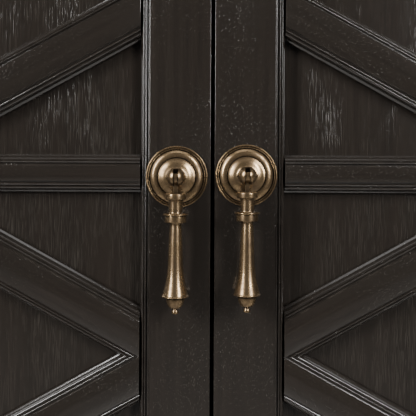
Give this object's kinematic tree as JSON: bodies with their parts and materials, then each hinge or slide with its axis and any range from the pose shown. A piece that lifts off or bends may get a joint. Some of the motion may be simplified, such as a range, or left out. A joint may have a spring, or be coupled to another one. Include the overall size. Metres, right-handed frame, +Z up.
{
  "type": "two-door cabinet",
  "caption": "Tall dark cabinet with lattice-panelled hinged doors, swinging brass drop pulls, fixed shelves and a row of sliding drawers under the doors.",
  "frame": {"origin": "on the floor under the middle of the overall box", "axes": "+Z up, -Y out of the front, +X to the right seen from the front"},
  "size_m": [1.297, 0.468, 1.9336],
  "materials": {
    "dark_wood": "satin charcoal-brown paint over open-pored wood",
    "inside_wood": "matt brown stain",
    "antique_brass": "aged, darkened in the recesses",
    "catch_steel": "satin"
  },
  "bodies": {
    "case": {"side_left": "dark_wood", "side_right": "dark_wood", "back_panel": "inside_wood", "ceiling_board": "inside_wood", "cupboard_floor": "inside_wood", "drawer_floor": "inside_wood", "plinth": "dark_wood", "cornice": "dark_wood", "cap_board": "dark_wood", "frame_stile_left": "dark_wood", "frame_stile_right": "dark_wood", "frame_rail_top": "dark_wood", "frame_rail_middle": "dark_wood", "frame_rail_bottom": "dark_wood", "drawer_divider_left": "dark_wood", "drawer_divider_right": "dark_wood", "shelf_1": "inside_wood", "shelf_2": "inside_wood", "shelf_3": "inside_wood", "shelf_4": "inside_wood", "door_stop": "inside_wood", "catch_left": "catch_steel", "catch_right": "catch_steel", "hinge_left_lower_frame_leaf": "antique_brass", "hinge_left_upper_frame_leaf": "antique_brass", "hinge_right_lower_frame_leaf": "antique_brass", "hinge_right_upper_frame_leaf": "antique_brass"},
    "door_left": {"door_left_hinge_stile": "dark_wood", "door_left_meeting_stile": "dark_wood", "door_left_bottom_rail": "dark_wood", "door_left_top_rail": "dark_wood", "door_left_panel": "dark_wood", "door_left_panel_moulding": "dark_wood", "door_left_lattice": "dark_wood", "hinge_left_lower_door_leaf": "antique_brass", "hinge_left_upper_door_leaf": "antique_brass", "pull_left_rosette": "antique_brass", "pull_left_pin": "antique_brass"},
    "pull_left": {"pull_left_drop": "antique_brass"},
    "door_right": {"door_right_hinge_stile": "dark_wood", "door_right_meeting_stile": "dark_wood", "door_right_bottom_rail": "dark_wood", "door_right_top_rail": "dark_wood", "door_right_panel": "dark_wood", "door_right_panel_moulding": "dark_wood", "door_right_lattice": "dark_wood", "hinge_right_lower_door_leaf": "antique_brass", "hinge_right_upper_door_leaf": "antique_brass", "pull_right_rosette": "antique_brass", "pull_right_pin": "antique_brass"},
    "pull_right": {"pull_right_drop": "antique_brass"},
    "drawer_left": {"drawer_left_front": "dark_wood", "drawer_left_box": "inside_wood", "drawer_left_knob": "antique_brass"},
    "drawer_middle": {"drawer_middle_front": "dark_wood", "drawer_middle_box": "inside_wood", "drawer_middle_knob": "antique_brass"},
    "drawer_right": {"drawer_right_front": "dark_wood", "drawer_right_box": "inside_wood", "drawer_right_knob": "antique_brass"}
  },
  "joints": [
    {"name": "door_left_hinge", "type": "hinge", "parent": "case", "child": "door_left", "pos_m": [-0.5635, -0.2005, 1.06666], "axis": [0, 0, -1], "range_deg": [0, 115]},
    {"name": "door_right_hinge", "type": "hinge", "parent": "case", "child": "door_right", "pos_m": [0.5635, -0.2005, 1.06666], "axis": [0, 0, 1], "range_deg": [0, 115]},
    {"name": "pull_left_swing", "type": "hinge", "parent": "door_left", "child": "pull_left", "pos_m": [-0.0269, -0.211, 1.06436], "axis": [-1, 0, 0], "range_deg": [-2.5, 88]},
    {"name": "pull_right_swing", "type": "hinge", "parent": "door_right", "child": "pull_right", "pos_m": [0.0253, -0.211, 1.06566], "axis": [-1, 0, 0], "range_deg": [-2.5, 88]},
    {"name": "drawer_left_slide", "type": "slide", "parent": "case", "child": "drawer_left", "axis": [0, -1, 0], "range_m": [0, 0.26]},
    {"name": "drawer_middle_slide", "type": "slide", "parent": "case", "child": "drawer_middle", "axis": [0, -1, 0], "range_m": [0, 0.26]},
    {"name": "drawer_right_slide", "type": "slide", "parent": "case", "child": "drawer_right", "axis": [0, -1, 0], "range_m": [0, 0.26]}
  ]
}
